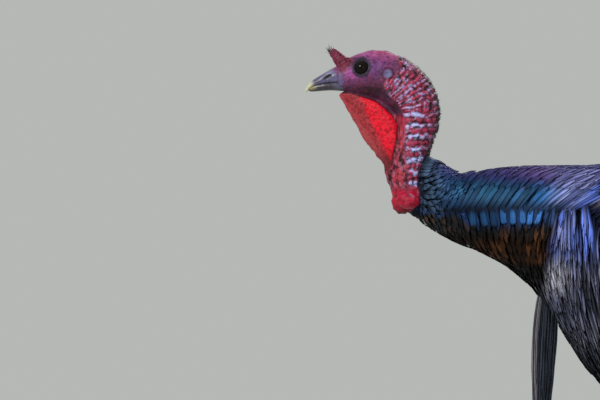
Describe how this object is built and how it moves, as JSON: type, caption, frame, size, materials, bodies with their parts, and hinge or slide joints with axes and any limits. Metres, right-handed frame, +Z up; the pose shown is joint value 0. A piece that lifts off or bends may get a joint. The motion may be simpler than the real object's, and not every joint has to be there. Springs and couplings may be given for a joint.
{
  "type": "wild turkey",
  "caption": "Life-size standing tom wild turkey, neck stretched low and forward, bare wattled head, hanging beard, folded wings, long closed tail and spurred legs.",
  "frame": {"origin": "on the ground under the middle of the bird's length, midway between its sides", "axes": "+Z up, -X the way the bird faces, -Y its left side"},
  "size_m": [0.995, 0.2722, 0.6672],
  "materials": {
    "face_skin": "satin, bare wrinkled skin, purple-red with bluish tones",
    "wattle": "moist satin, granular red skin",
    "bill_horn": "smooth horn, slate blue to ivory at the tip",
    "eye": "wet gloss, dark brown",
    "neck_feathers": "iridescent blue over bronze-brown feathers",
    "body_feathers": "iridescent dark bronze feathers with black edges",
    "wing_feathers": "bronze-brown coverts over flight feathers barred dark and white",
    "tail_feathers": "chestnut feathers barred black, with a black band and buff tips",
    "beard_hair": "coarse black hair-like strands",
    "leg_scale": "dull pinkish scales",
    "claw": "dark horn"
  },
  "bodies": {
    "root": {"head": "face_skin", "bill_upper": "bill_horn", "bill_lower": "bill_horn", "eye_left": "eye", "eye_right": "eye", "snood": "face_skin", "dewlap": "wattle", "neck_bare": "wattle", "caruncles": "wattle", "neck_feathered": "neck_feathers", "trunk": "body_feathers", "tail": "tail_feathers", "beard": "beard_hair", "wing_left": "wing_feathers", "wing_right": "wing_feathers", "thigh_left": "body_feathers", "shank_left": "leg_scale", "spur_left": "claw", "toe_middle_left": "leg_scale", "claw_middle_left": "claw", "toe_inner_left": "leg_scale", "claw_inner_left": "claw", "toe_outer_left": "leg_scale", "claw_outer_left": "claw", "toe_hind_left": "leg_scale", "claw_hind_left": "claw", "thigh_right": "body_feathers", "shank_right": "leg_scale", "spur_right": "claw", "toe_middle_right": "leg_scale", "claw_middle_right": "claw", "toe_inner_right": "leg_scale", "claw_inner_right": "claw", "toe_outer_right": "leg_scale", "claw_outer_right": "claw", "toe_hind_right": "leg_scale", "claw_hind_right": "claw"}
  },
  "joints": []
}
